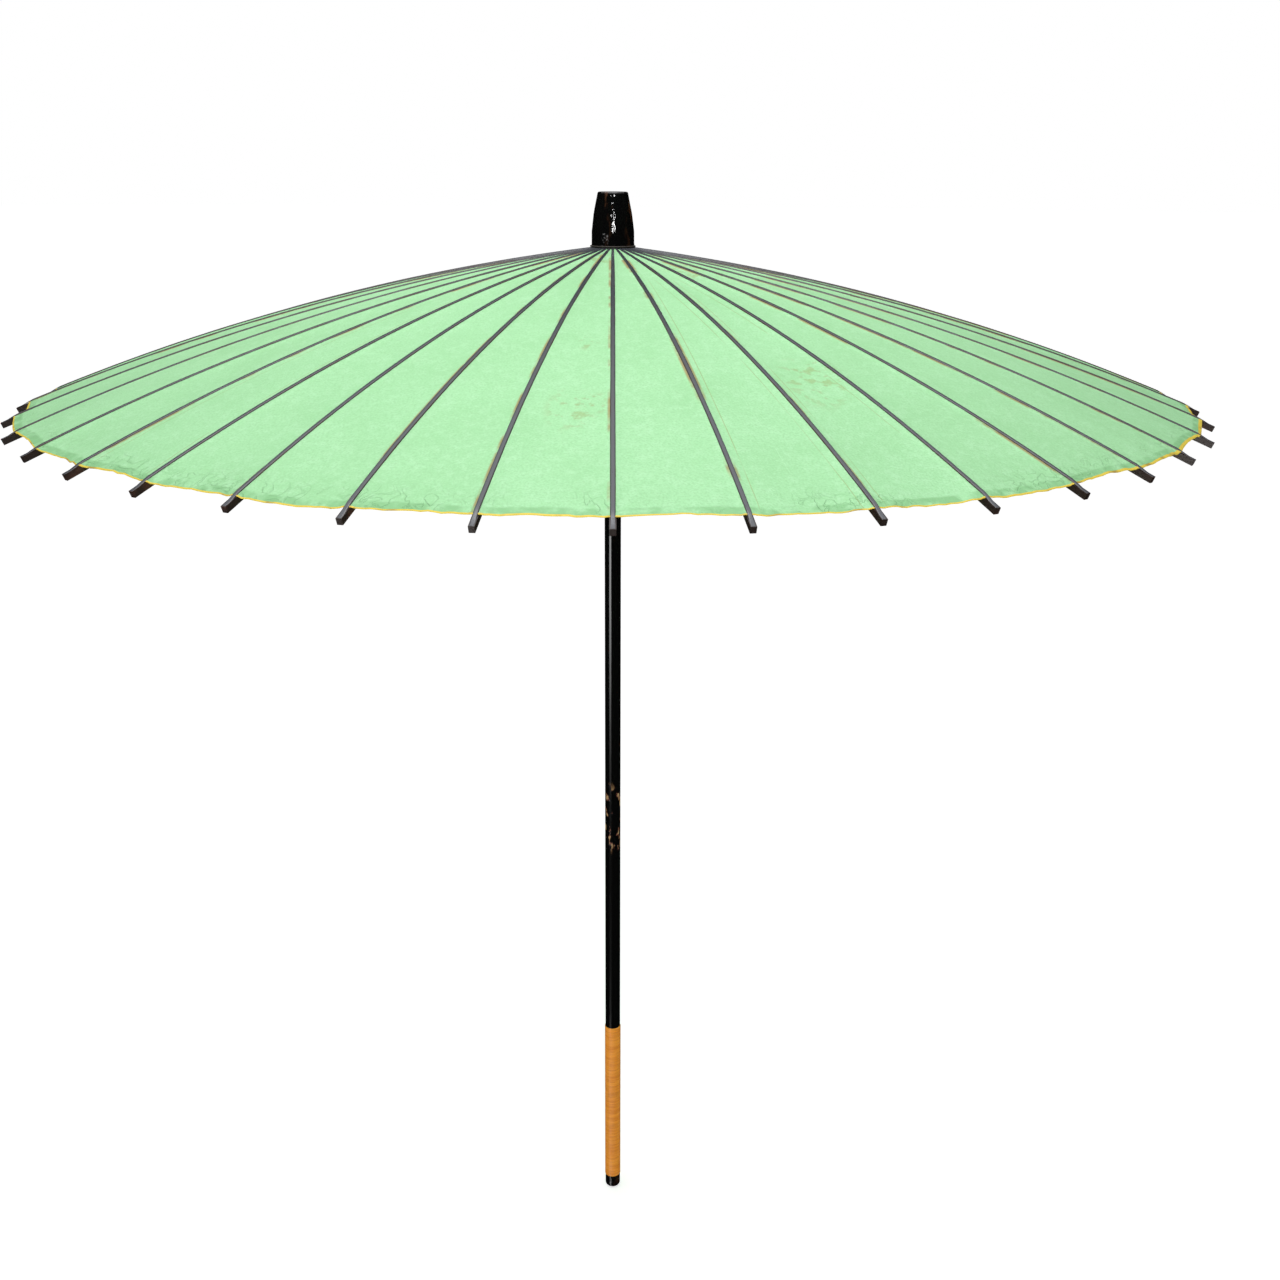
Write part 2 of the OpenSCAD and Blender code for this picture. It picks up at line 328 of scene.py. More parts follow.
class Bench:
    """A node tree that is being wired: a material's, or the world's."""

    def __init__(self, name: str, tree: bpy.types.NodeTree | None = None) -> None:
        """Starts an empty node tree.

        Args:
            name: The material's name.
            tree: The world's tree, where it isn't a material's.
        """
        self.material = None
        if tree is None:
            self.material = bpy.data.materials.new(name)
            self.material.use_nodes = True
        self.tree = tree or self.material.node_tree
        self.tree.nodes.clear()
        place = self.add("TexCoord")
        self.point = Wire(self, place.outputs["Object"])
        self.way = Wire(self, place.outputs["Generated"])

    def add(self, kind: str, settings: dict | None = None, sockets: dict | None = None) -> bpy.types.Node:
        """Adds any node.

        Args:
            kind: The node's type, without ShaderNode in front.
            settings: Its own settings, set first.
            sockets: Values or wires for its inputs, by name or number.

        Returns:
            The node.
        """
        node = self.tree.nodes.new(f"ShaderNode{kind}")
        for key, value in (settings or {}).items():
            setattr(node, key, value)
        for key, value in (sockets or {}).items():
            if isinstance(value, Wire):
                self.tree.links.new(value.socket, node.inputs[key])
            else:
                node.inputs[key].default_value = value
        return node

    def maths(self, operation: str, *values: "Wire | float") -> Wire:
        """A Math node on wires and numbers."""
        node = self.add("Math", {"operation": operation}, dict(enumerate(values)))
        return Wire(self, node.outputs[0])

    def step(self, value: Wire, start: float, end: float) -> Wire:
        """Smooth step of a wire from 0 at start to 1 at end.

        Args:
            value: The wire.
            start: Where the result is 0.
            end: Where the result is 1.

        Returns:
            A wire from 0 to 1.
        """
        low, high, first, last = (start, end, 0.0, 1.0) if start < end else (end, start, 1.0, 0.0)
        node = self.add(
            "MapRange",
            {"interpolation_type": "SMOOTHSTEP"},
            {"Value": value, "From Min": low, "From Max": high, "To Min": first, "To Max": last},
        )
        return Wire(self, node.outputs[0])

    def stretched(self, scale: tuple[float, float, float], vector: Wire | None = None) -> Wire:
        """The object's point, or another vector, scaled along each axis."""
        node = self.add("Mapping", None, {"Vector": vector or self.point, "Scale": scale})
        return Wire(self, node.outputs[0])

    def grain(self, scale: float, detail: float = 2.0, vector: Wire | None = None, warp: float = 0.0) -> Wire:
        """Noise from 0 to 1.

        Args:
            scale: Lumps to a metre.
            detail: Octaves.
            vector: What the noise follows, or the object's point.
            warp: Distortion.

        Returns:
            The noise's wire.
        """
        sockets = {"Vector": vector or self.point, "Scale": scale, "Detail": detail, "Distortion": warp}
        return Wire(self, self.add("TexNoise", None, sockets).outputs[0])

    def blend(self, share: "Wire | float", under: "Wire | Colour", over: "Wire | Colour") -> Wire:
        """Mixes two colours.

        Args:
            share: How much of the second, from 0 to 1.
            under: The first colour.
            over: The second colour.

        Returns:
            The mixed colour's wire.
        """
        colours = [c if isinstance(c, Wire) else (*c, 1) for c in (under, over)]
        sockets = {0: share, 6: colours[0], 7: colours[1]}
        return Wire(self, self.add("Mix", {"data_type": "RGBA"}, sockets).outputs[2])

    def parts(self, vector: Wire) -> list[Wire]:
        """The three parts of a vector."""
        node = self.add("SeparateXYZ", None, {0: vector})
        return [Wire(self, out) for out in node.outputs]

    def joined(self, x: "Wire | float", y: "Wire | float", z: "Wire | float") -> Wire:
        """A vector of three wires or numbers."""
        return Wire(self, self.add("CombineXYZ", None, {0: x, 1: y, 2: z}).outputs[0])

    def path(self, name: str) -> Wire:
        """A number that tells what kind of ray is being followed."""
        return Wire(self, self.add("LightPath").outputs[name])

    def attribute(self, name: str) -> Wire:
        """A number that the piece's points carry."""
        return Wire(self, self.add("Attribute", {"attribute_name": name}).outputs["Fac"])

    def rib_space(self, count: int) -> tuple[Wire, Wire, Wire]:
        """Place seen from the nearest rib.

        Args:
            count: Number of ribs.

        Returns:
            Distance from the shaft, distance across from the rib's plane, and height.
        """
        x, y, z = self.parts(self.point)
        away = self.maths("SQRT", x * x + y * y)
        turn = self.maths("ARCTAN2", y, x) * (count / (2 * math.pi))
        off = turn - self.maths("ROUND", turn)
        return away, off * away * (2 * math.pi / count), z

    def finish(
        self,
        colour: "Wire | Colour",
        roughness: "Wire | float",
        relief: Wire | None = None,
        depth: float = 0.0,
        **constants: float,
    ) -> Material:
        """Closes the tree with its shader.

        Args:
            colour: Base colour.
            roughness: Roughness.
            relief: Height for a Bump node, in shares of depth.
            depth: Height of the relief in metres.
            **constants: Other inputs of the shader, with _ for a space.

        Returns:
            The material.
        """
        sockets = {"Base Color": colour if isinstance(colour, Wire) else (*colour, 1), "Roughness": roughness}
        sockets |= {key.replace("_", " "): value for key, value in constants.items()}
        if relief is not None:
            bump = self.add("Bump", None, {"Height": relief, "Distance": depth, "Strength": 1.0})
            sockets["Normal"] = Wire(self, bump.outputs[0])
        shader = self.add("BsdfPrincipled", None, sockets)
        self.add("OutputMaterial", None, {0: Wire(self, shader.outputs[0])})
        return self.material


# Finishes


@dataclass(frozen=True)
class OiledPaper:
    """Pale green handmade paper, oiled, with creases, stains by the ribs, a rougher hem and painted shading
    along the wrinkles near its edge.
    """

    pale: Colour = (0.43, 0.83, 0.44)
    deep: Colour = (0.35, 0.73, 0.35)
    fresh: Colour = (0.54, 0.92, 0.56)
    # Darker green of the hem, also used as painted shading along the wrinkles
    hem_green_and_crease_shade: Colour = (0.27, 0.60, 0.27)
    olive: Colour = (0.33, 0.42, 0.12)
    ochre: Colour = (0.38, 0.22, 0.07)
    fold_mark: float = 0.6 * MM
    glue_line: float = 7.5 * MM
    stained: Pair = (3.9 * MM, 2.4 * MM)
    crown: Pair = (190 * MM, 40 * MM)
    hem: float = 8 * MM
    wrinkled: Pair = (32 * MM, 8 * MM)
    blots: Sequence[tuple[float, float, float]] = ()

    def make(self) -> Material:
        """Wires the paper."""
        bench = Bench("oiled_paper")
        sideways, out, mid, edge, gore, turn = (
            bench.attribute(name) for name in ("across", "out", "mid", "edge", "gore", "turn")
        )
        cloud = bench.grain(16, 4, warp=0.6)
        mottle = bench.grain(150, 4)
        fibre = bench.grain(700, 3)
        colour = bench.blend(bench.step(cloud, 0.35, 0.75) * 0.5, self.pale, self.deep)
        colour = bench.blend(bench.step(mottle, 0.45, 0.7) * 0.4, colour, self.fresh)
        colour = bench.blend(bench.step(fibre, 0.48, 0.64) * 0.6, colour, self.deep)
        colour = bench.blend(bench.step(fibre, 0.44, 0.34) * 0.35, colour, self.fresh)
        # Fold in the middle of some gores, lines of glue and stains beside the ribs
        patches = bench.grain(45, 3)
        fold = bench.step(mid, self.fold_mark, 0.0) * bench.step(patches, 0.45, 0.62)
        fold = fold * bench.step(gore, 0.35, 0.45)
        colour = bench.blend(fold * 0.3, colour, self.fresh)
        beside = bench.step(abs(abs(sideways) - self.glue_line), 0.5 * MM, 0.1 * MM)
        glue = beside * bench.step(gore, 0.62, 0.66) * bench.step(bench.grain(9, 1), 0.42, 0.55)
        colour = bench.blend(glue * 0.6, colour, self.olive)
        one_side = sideways * bench.maths("SIGN", gore - 0.5)
        by_rib = bench.step(one_side, *self.stained) * bench.step(one_side, 0.5 * MM, 1.5 * MM)
        by_rib = by_rib * bench.step(bench.grain(20, 4), 0.45, 0.58)
        colour = bench.blend(by_rib * 0.8, colour, self.ochre)
        # Blots, and streaks that run down from the cap
        x, y, _ = bench.parts(bench.point)
        ragged = bench.grain(130, 3)
        for place_x, place_y, size in self.blots:
            wide, deep = x - place_x, (y - place_y) * 0.6
            near = bench.step(bench.maths("SQRT", wide * wide + deep * deep), size, size * 0.4)
            colour = bench.blend(near * bench.step(ragged, 0.5, 0.62) * 0.45, colour, self.olive)
        streaks = bench.grain(1, 4, bench.joined(out * 14, turn * 8, 0.0))
        crown = bench.step(out, *self.crown) * bench.step(streaks, 0.6, 0.72)
        colour = bench.blend(crown * 0.55, colour, self.olive)
        # Hem, and painted shading along the wrinkles near the edge
        hem = bench.step(edge, self.hem, 0.7 * self.hem)
        colour = bench.blend(hem * bench.step(bench.grain(90, 3), 0.3, 0.6) * 0.9, colour, self.hem_green_and_crease_shade)
        near_edge = bench.step(edge, *self.wrinkled)
        wrinkles = abs(bench.grain(70, 2, warp=1.2) - 0.5)
        # Painted shading: the paper is darkened along its wrinkle lines near the edge
        crease_shade = near_edge * bench.step(wrinkles, 0.028, 0.004) * bench.step(cloud, 0.4, 0.6)
        colour = bench.blend(crease_shade * 0.45, colour, self.hem_green_and_crease_shade)
        relief = mottle * 0.6 + fibre * 0.7 + bench.grain(40, 3) * 0.8 + hem * 0.3 + fold * 0.2 - crease_shade
        roughness = 0.45 + bench.grain(60, 2) * 0.2
        return bench.finish(colour, roughness, relief, 0.3 * MM, Specular_IOR_Level=0.35)


@dataclass(frozen=True)
class YellowEdging:
    """Strip of yellow paper pasted round the edge, browned in places."""

    yellow: Colour = (0.86, 0.66, 0.07)
    brown: Colour = (0.30, 0.17, 0.04)

    def make(self) -> Material:
        """Wires the edging."""
        bench = Bench("yellow_edging")
        worn = bench.step(bench.grain(60, 3), 0.52, 0.7)
        return bench.finish(bench.blend(worn * 0.7, self.yellow, self.brown), 0.5)


@dataclass(frozen=True)
class LineLacquer:
    """Glossy black lacquer line, its black painted grey-blue as a painted reflection of the sky, browned
    along its sides and pitted along its middle.
    """

    rib_count: int
    # The black is painted grey-blue: a painted reflection of the sky on the lacquer
    black: Colour = (0.065, 0.070, 0.084)
    brown: Colour = (0.060, 0.024, 0.012)
    half_width: float = 1.95 * MM

    def make(self) -> Material:
        """Wires the lacquer line."""
        bench = Bench("line_lacquer")
        away, across, _ = bench.rib_space(self.rib_count)
        side = bench.step(abs(across), 0.5 * self.half_width, 0.85 * self.half_width)
        worn = side * (0.4 + bench.step(bench.grain(55, 3), 0.42, 0.62) * 0.6)
        # The grey-blue of the line's middle is a painted reflection of the sky
        colour = bench.blend(worn * 0.85, self.black, self.brown)
        grain = bench.grain(1, 3, bench.joined(away * 90, across * 1400, 0.0))
        pits = bench.step(bench.grain(500, 1), 0.72, 0.8)
        roughness = 0.16 + grain * 0.14 + worn * 0.25
        return bench.finish(colour, roughness, grain * 0.5 - pits, 0.12 * MM)


@dataclass(frozen=True)
class RibLacquer:
    """Brown-black lacquer on split bamboo, thin enough to show the long grain."""

    rib_count: int
    dark: Colour = (0.020, 0.011, 0.008)
    red: Colour = (0.075, 0.026, 0.014)

    def make(self) -> Material:
        """Wires the rib lacquer."""
        bench = Bench("rib_lacquer")
        away, across, height = bench.rib_space(self.rib_count)
        grain = bench.grain(1, 3, bench.joined(away * 40, across * 1500, height * 900))
        patch = bench.step(bench.grain(35, 3), 0.5, 0.68)
        colour = bench.blend(patch * 0.8, self.dark, self.red)
        colour = bench.blend(bench.step(grain, 0.6, 0.8) * 0.35, colour, self.red)
        return bench.finish(colour, 0.34 + grain * 0.2, grain, 0.15 * MM)


@dataclass(frozen=True)
class CapLacquer:
    """Thick black lacquer over pleated paper, rubbed brown towards the top."""

    foot: float
    top: float
    black: Colour = (0.003, 0.003, 0.003)
    brown: Colour = (0.10, 0.035, 0.012)

    def make(self) -> Material:
        """Wires the cap's lacquer."""
        bench = Bench("cap_lacquer")
        _, _, height = bench.parts(bench.point)
        rise = (height - self.foot) / (self.top - self.foot)
        rubbed = bench.step(bench.grain(120, 4, bench.stretched((1, 1, 0.35))), 0.56, 0.68)
        rubbed = rubbed * (0.25 + bench.step(rise, 0.35, 0.95) * 0.75)
        colour = bench.blend(rubbed * 0.75, self.black, self.brown)
        lumps = bench.grain(420, 1, bench.stretched((1, 1, 0.55)))
        return bench.finish(colour, 0.05 + rubbed * 0.35, lumps, 0.35 * MM)


@dataclass(frozen=True)
class ShaftLacquer:
    """Black lacquer on the bamboo shaft, chipped to ochre and red brown half way down."""

    chip_low: float
    chip_high: float
    black: Colour = (0.002, 0.002, 0.002)
    red: Colour = (0.16, 0.035, 0.015)
    ochre: Colour = (0.42, 0.27, 0.11)

    def make(self) -> Material:
        """Wires the shaft's lacquer."""
        bench = Bench("shaft_lacquer")
        _, _, height = bench.parts(bench.point)
        middle, half = (self.chip_low + self.chip_high) / 2, (self.chip_high - self.chip_low) / 2
        belt = bench.step(abs(height - middle), half, half * 0.5)
        spots = bench.grain(230, 3, bench.stretched((1, 1, 0.45)))
        chipped = belt * bench.step(spots, 0.60, 0.63)
        rim = belt * bench.step(spots, 0.56, 0.60)
        flecks = bench.step(bench.grain(420, 1), 0.78, 0.8)
        colour = bench.blend(rim, self.black, self.red)
        colour = bench.blend(chipped, colour, self.ochre)
        colour = bench.blend(flecks * 0.4, colour, self.red)
        hairs = bench.grain(1, 3, bench.stretched((900, 900, 12)))
        roughness = 0.1 + hairs * 0.08 + rim * 0.4
        return bench.finish(colour, roughness, hairs * 0.3 - rim, 0.15 * MM)


@dataclass(frozen=True)
class Rattan:
    """Varnished rattan strip, amber to red brown, each turn a little different."""

    pitch: float
    amber: Colour = (0.76, 0.24, 0.012)
    honey: Colour = (0.92, 0.36, 0.03)
    russet: Colour = (0.30, 0.07, 0.008)

    def make(self) -> Material:
        """Wires the rattan."""
        bench = Bench("rattan")
        x, y, height = bench.parts(bench.point)
        turn = bench.maths("ARCTAN2", y, x)
        lift = height - turn * (self.pitch / (2 * math.pi))
        number = bench.maths("FLOOR", lift / self.pitch)
        tone = bench.grain(1, 2, bench.joined(number * 3.7, turn * 0.35, 0.0))
        fibres = bench.grain(1, 3, bench.joined(turn * 4, lift * 5200, 0.0))
        colour = bench.blend(bench.step(tone, 0.3, 0.7), self.amber, self.honey)
        colour = bench.blend(bench.step(fibres, 0.55, 0.8) * 0.5, colour, self.russet)
        grime = bench.step(bench.grain(30, 3), 0.55, 0.75)
        colour = bench.blend(grime * 0.45, colour, self.russet)
        coat = {"Coat_Weight": 0.3, "Coat_Roughness": 0.12}
        return bench.finish(colour, 0.2 + fibres * 0.18, fibres, 0.1 * MM, **coat)


@dataclass(frozen=True)
class TurnedWood:
    """Pale close grained wood of the hub and the runner."""

    pale: Colour = (0.46, 0.29, 0.14)
    dark: Colour = (0.22, 0.11, 0.045)

    def make(self) -> Material:
        """Wires the wood."""
        bench = Bench("hub_wood")
        rings = bench.grain(1, 4, bench.stretched((420, 420, 26)), 0.4)
        pores = bench.grain(1, 2, bench.stretched((2600, 2600, 150)))
        colour = bench.blend(bench.step(rings, 0.35, 0.7), self.pale, self.dark)
        colour = bench.blend(bench.step(pores, 0.62, 0.75) * 0.5, colour, self.dark)
        return bench.finish(colour, 0.38 + pores * 0.2, pores, 0.12 * MM)


@dataclass(frozen=True)
class SplitBamboo:
    """Bare split bamboo, straw brown, with long fibres and a knot."""

    rib_count: int
    straw: Colour = (0.47, 0.28, 0.11)
    brown: Colour = (0.26, 0.12, 0.04)
    knot: float = 118 * MM

    def make(self) -> Material:
        """Wires the bamboo."""
        bench = Bench("split_bamboo")
        away, across, height = bench.rib_space(self.rib_count)
        fibres = bench.grain(1, 3, bench.joined(away * 30, across * 2600, height * 60))
        colour = bench.blend(bench.step(fibres, 0.35, 0.7), self.straw, self.brown)
        knot = bench.step(abs(away - self.knot), 1.4 * MM, 0.4 * MM)
        colour = bench.blend(knot * 0.8, colour, self.brown)
        return bench.finish(colour, 0.42 + fibres * 0.2, fibres, 0.12 * MM)


@dataclass(frozen=True)
class WaxedThread:
    """Dark waxed thread with its twist."""

    dark: Colour = (0.022, 0.017, 0.014)
    worn: Colour = (0.10, 0.07, 0.05)

    def make(self) -> Material:
        """Wires the thread."""
        bench = Bench("waxed_thread")
        twist = bench.grain(1500, 2)
        colour = bench.blend(bench.step(twist, 0.5, 0.8), self.dark, self.worn)
        return bench.finish(colour, 0.6, twist, 0.1 * MM)


@dataclass(frozen=True)
class SpringSteel:
    """Plain drawn steel."""

    steel: Colour = (0.55, 0.55, 0.57)
    rust: Colour = (0.22, 0.10, 0.05)

    def make(self) -> Material:
        """Wires the steel."""
        bench = Bench("spring_steel")
        spots = bench.step(bench.grain(700, 3), 0.6, 0.75)
        return bench.finish(bench.blend(spots, self.steel, self.rust), 0.3 + spots * 0.4, Metallic=1.0)


# Shapes


@dataclass(frozen=True)
class RibArc:
    """Centre line of a rib in the plane of its radius: an arc from its hinge to its tip."""

    count: int
    hinge_x: float
    hinge_z: float
    tip_x: float
    tip_z: float
    bow: float = 16 * MM
    depth: float = 4.5 * MM

    @classmethod
    def from_frame(cls) -> "RibArc":
        """Reads the arc's ends from the first rib's joint and box."""
        names = [n for n in frame["bodies"] if n.startswith("rib_")]
        hinge = joint("rib_00_fold")["pos_m"]
        low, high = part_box("rib_00")
        run, drop = high.x - hinge[0], hinge[2] - low.z
        end_slope = math.atan2(drop, run) + 2 * math.atan(2 * cls.bow / math.hypot(run, drop))
        tip_x = high.x - cls.depth / 2 * math.sin(end_slope)
        tip_z = low.z + cls.depth / 2 * math.cos(end_slope)
        return cls(len(names), hinge[0], hinge[2], tip_x, tip_z)

    @property
    def centre(self) -> tuple[float, float, float]:
        """The arc's centre, as distance from the shaft and height, and its radius."""
        run, drop = self.tip_x - self.hinge_x, self.hinge_z - self.tip_z
        chord = math.hypot(run, drop)
        radius = chord * chord / (8 * self.bow) + self.bow / 2
        x = (self.hinge_x + self.tip_x) / 2 - drop / chord * (radius - self.bow)
        z = (self.hinge_z + self.tip_z) / 2 - run / chord * (radius - self.bow)
        return x, z, radius

    @property
    def half_turn(self) -> float:
        """Half of the angle between two ribs."""
        return math.pi / self.count

    def height(self, x: float, lift: float) -> float:
        """Height at a distance from the shaft, lifted square to the arc.

        Args:
            x: Distance from the shaft's axis.
            lift: How far above the centre line.

        Returns:
            The height.
        """
        cx, cz, radius = self.centre
        return cz + math.sqrt((radius + lift) ** 2 - (x - cx) ** 2)

    def turn(self, index: int) -> float:
        """Azimuth of a rib."""
        return 2 * math.pi * index / self.count

    def place(self, index: int, x: float, across: float, z: float) -> Vector:
        """A point given in a rib's own plane, in the frame.

        Args:
            index: The rib's number.
            x: Distance along the rib's azimuth.
            across: Distance square to the rib's plane, anticlockwise.
            z: Height.

        Returns:
            The point.
        """
        return Matrix.Rotation(self.turn(index), 3, "Z") @ Vector((x, across, z))


def sheet_of(name: str, grid: tuple[int, int], place: Callable[[float, float], SheetPoint]) -> Piece:
    """Makes a sheet from a grid, each point moved to its place.

    Args:
        name: The sheet's name.
        grid: Faces across and along.
        place: Gives a point and the numbers it carries for its share across, -1 to 1, and along, 0 to 1.

    Returns:
        The sheet, its faces up.
    """
    deselect_all()
    bpy.ops.mesh.primitive_grid_add(x_subdivisions=grid[0], y_subdivisions=grid[1], size=2)
    piece = newest(name)
    carried: dict[str, list[float]] = {}
    for vertex in piece.data.vertices:
        vertex.co, numbers = place(-vertex.co.x, (vertex.co.y + 1) / 2)
        for key, value in numbers.items():
            carried.setdefault(key, []).append(value)
    for key, values in carried.items():
        piece.data.attributes.new(key, "FLOAT", "POINT").data.foreach_set("value", values)
    piece.data.update()
    return piece


def thicken(piece: Piece, thickness: float) -> None:
    """Gives a sheet its thickness, half on each side, and keeps its edges crisp.

    Args:
        piece: The sheet.
        thickness: How thick it becomes.
    """
    solid = piece.modifiers.new("thickness", "SOLIDIFY")
    solid.thickness = thickness
    solid.offset = 0
    apply_modifiers(piece)
    smooth(piece, 50)


@dataclass(frozen=True)
class Layer:
    """A sheet that each rib carries one of.

    Its place gives a point for the rib's number and the shares across and along. Keep is the share of its
    width to keep against the rib, and flat the flat width, length and area of a soft sheet; neither is
    applied to the pieces.
    """

    kind: str
    slot: Slot
    material: Material
    grid: tuple[int, int]
    thickness: float
    place: Callable[[int, float, float], SheetPoint]
    keep: float | None = None
    flat: tuple[float, float, float] | None = None
    stands_for: str | None = None


@dataclass
class Canopy:
    """Paper, its lining, yellow edging and lacquer line of each rib."""

    arc: RibArc
    inner: float = 17.4 * MM
    outer: float = 490.6 * MM
    thickness: float = 0.4 * MM
    air: float = 0.3 * MM
    on_rib: float = 2.2 * MM
    step_down: float = 0.55 * MM
    sag: float = 1.6 * MM
    scallop: float = 2.6 * MM
    droop: float = 0.7 * MM
    gather: float = 1.5
    crowding: float = 1.15
    grid: tuple[int, int] = (24, 64)
    closed_share: float = 0.068
    lining_share: float = 0.2
    lining_reach: Pair = (0.11, 0.43)
    lining_widths: Pairs = ((0.14, 0.98), (0.2, 0.85), (0.3, 0.62), (0.43, 0.4))
    line_height: float = 0.8 * MM
    line_widths: Pairs = (
        (18 * MM, 1.05 * MM),
        (40 * MM, 1.45 * MM),
        (130 * MM, 1.95 * MM),
        (300 * MM, 1.95 * MM),
        (488 * MM, 1.85 * MM),
        (494 * MM, 1.7 * MM),
    )
    blots: Sequence[tuple[float, float, float]] = (
        (-0.0175, -0.270, 0.010),
        (-0.0265, -0.372, 0.020),
        (-0.012, -0.365, 0.012),
        (0.135, -0.310, 0.030),
        (0.060, -0.085, 0.022),
        (-0.013, -0.058, 0.016),
    )

    @property
    def lift(self) -> float:
        """The paper's middle above the rib's centre line."""
        return self.arc.depth / 2 + self.air + self.thickness / 2

    def gore_number(self, index: int, side: float) -> int:
        """Number of the gore on one side of a rib."""
        return index % self.arc.count if side >= 0 else (index - 1) % self.arc.count

    def gore_mood(self, gore: int, key: float) -> float:
        """A fixed number from 0 to 1 that belongs to one gore."""
        return noise.cell(Vector((gore * 1.37 + key, key * 7.1, gore * 0.61)))

    def paper_point(self, index: int, share: float, along: float) -> SheetPoint:
        """A point of the paper round one rib.

        Args:
            index: The rib's number.
            share: From the middle of one gore, -1, over the rib, 0, to the middle of the next, 1.
            along: From the cap, 0, to the edge, 1.

        Returns:
            The point, and what it carries for the paper's finish.
        """
        part = abs(share) ** self.gather
        side = 1.0 if share >= 0 else -1.0
        gore = self.gore_number(index, side)
        reach = 2 * part - part * part
        dent = self.scallop * (0.3 + 1.2 * self.gore_mood(gore, 1.0)) * reach
        x = self.inner + (self.outer - dent - self.inner) * (1 - (1 - along) ** self.crowding)
        half = self.arc.half_turn
        across = x * math.sin(half) * math.cos(half) * part
        radial = x * (1 - math.sin(half) ** 2 * part)
        away = max(0.0, across - self.on_rib)
        clear = ease(away, 0.0, 5 * MM)
        flat = self.arc.place(index, radial, side * across, self.arc.height(x, self.lift))
        share_out = x / self.outer
        fall = self.step_down * ease(away, 0.0, 2.5 * MM)
        fall += self.sag * share_out * (0.5 + self.gore_mood(gore, 2.0)) * reach
        hanging = ease(x, self.outer - 40 * MM, self.outer)
        fall += self.droop * (0.2 + self.gore_mood(gore, 4.0)) * reach * hanging
        swell = noise.noise(flat * 22) * 0.5 * MM + noise.noise(flat * 70) * 0.22 * MM
        rim = ease(x, self.outer - 45 * MM, self.outer)
        ruffle = noise.noise(Vector((flat.x * 120, flat.y * 120, 3.0))) * 1.0 * MM * rim
        flat.z += clear * (swell * share_out + ruffle) - fall
        numbers = {
            "across": side * across,
            "out": x,
            "mid": x * math.sin(half) * (1 - part),
            "edge": (self.outer - dent) - x,
            "gore": self.gore_mood(gore, 3.0),
            "turn": self.arc.turn(index) % (2 * math.pi) + side * part * half,
        }
        return flat, numbers

    def lining_point(self, index: int, share: float, along: float) -> SheetPoint:
        """A point of the narrow strip of paper under the canopy, along one rib.

        Args:
            index: The rib's number.
            share: From one side of the strip, -1, to the other, 1.
            along: From its inner end, 0, to its outer end, 1.

        Returns:
            The point, and what it carries for the paper's finish.
        """
        low, high = self.lining_reach
        x = low + (high - low) * along
        width = between(x, self.lining_widths)
        out = (x - self.inner) / (self.outer - self.inner)
        beside = math.copysign((abs(share) * width) ** (1 / self.gather), share)
        point, numbers = self.paper_point(index, beside, 1 - (1 - out) ** (1 / self.crowding))
        point.z -= self.thickness / 2 + 0.2 * MM
        return point, numbers

    def edging_point(self, index: int, share: float, along: float) -> SheetPoint:
        """A point of the edging, which wraps the paper's edge from above to below.

        Args:
            index: The rib's number.
            share: As for the paper.
            along: Round the wrap, from its upper lip, 0, to its lower lip, 1.

        Returns:
            The point, which carries nothing.
        """
        edge, _ = self.paper_point(index, share, 1.0)
        inside, _ = self.paper_point(index, share, 0.985)
        outward_way = (edge - inside).normalized()
        up = outward_way.cross(self.arc.place(index, 0, 1, 0)).normalized()
        if up.z < 0:
            up = -up
        swell = noise.noise(Vector((edge.x * 14, edge.y * 14, 9.0)))
        side = 1.7 * ease(edge.x, 0.2, 0.48) + 0.5 * ease(edge.x, -0.2, -0.48)
        width = (0.7 + 0.7 * swell + side) * MM
        turn = math.pi * ease(along, 0.2, 0.8)
        lip = self.thickness / 2 + 0.1 * MM
        back = width * (ease(along, 0.28, 0.0) + 0.8 * ease(along, 0.72, 1.0))
        return edge + outward_way * (lip * math.sin(turn) - back) + up * (lip * math.cos(turn)), {}

    def line_point(self, index: int, share: float, along: float) -> SheetPoint:
        """A point of the lacquer line on a rib.

        Args:
            index: The rib's number.
            share: From one side, -1, to the other, 1.
            along: From the cap, 0, to the rib's tip, 1.

        Returns:
            The point, which carries nothing.
        """
        first, last = self.inner + 0.6 * MM, self.arc.tip_x + 0.35 * MM
        x = first + (last - first) * along
        past = ease(x, self.outer - 1 * MM, self.outer + 3.5 * MM)
        ground = self.lift + self.thickness / 2
        base = ground - 0.05 * MM - past * (ground - self.arc.depth / 2)
        wobble = noise.noise(Vector((x * 60, index * 5.3, 0.5)))
        half = between(x, self.line_widths) * (1 + 0.07 * wobble)
        lump = 1 + 0.12 * noise.noise(Vector((x * 30, index, 4)))
        crown = self.line_height * (1 - abs(share) ** 5) * lump * (1 - 0.8 * past)
        rounded = ease(x, last, self.arc.tip_x - 1.2 * MM)
        lean = 0.15 * MM * noise.noise(Vector((x * 12, index * 3.1, 8.0)))
        spread = half * share * (0.86 + 0.14 * (1 - abs(share) ** 3))
        z = self.arc.height(x, base + crown * (0.3 + 0.7 * rounded))
        return self.arc.place(index, x, spread + lean * (1 - past), z), {}

    def lay(self, layer: Layer, index: int) -> None:
        """Makes a layer's piece on one rib, which it rides on.

        Args:
            layer: The layer.
            index: The rib's number.
        """
        rib = f"rib_{index:02d}"
        piece = sheet_of(f"{layer.kind}_{index:02d}", layer.grid, lambda u, v: layer.place(index, u, v))
        thicken(piece, layer.thickness)
        dress(piece, layer.material)
        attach(piece, rib)
        if layer.keep is not None:
            tangent = (-math.sin(self.arc.turn(index)), math.cos(self.arc.turn(index)), 0.0)
            anchor = tuple(self.arc.place(index, self.inner, 0.0, self.arc.hinge_z))
            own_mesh(piece)
        if layer.stands_for is not None:
            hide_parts(layer.stands_for)

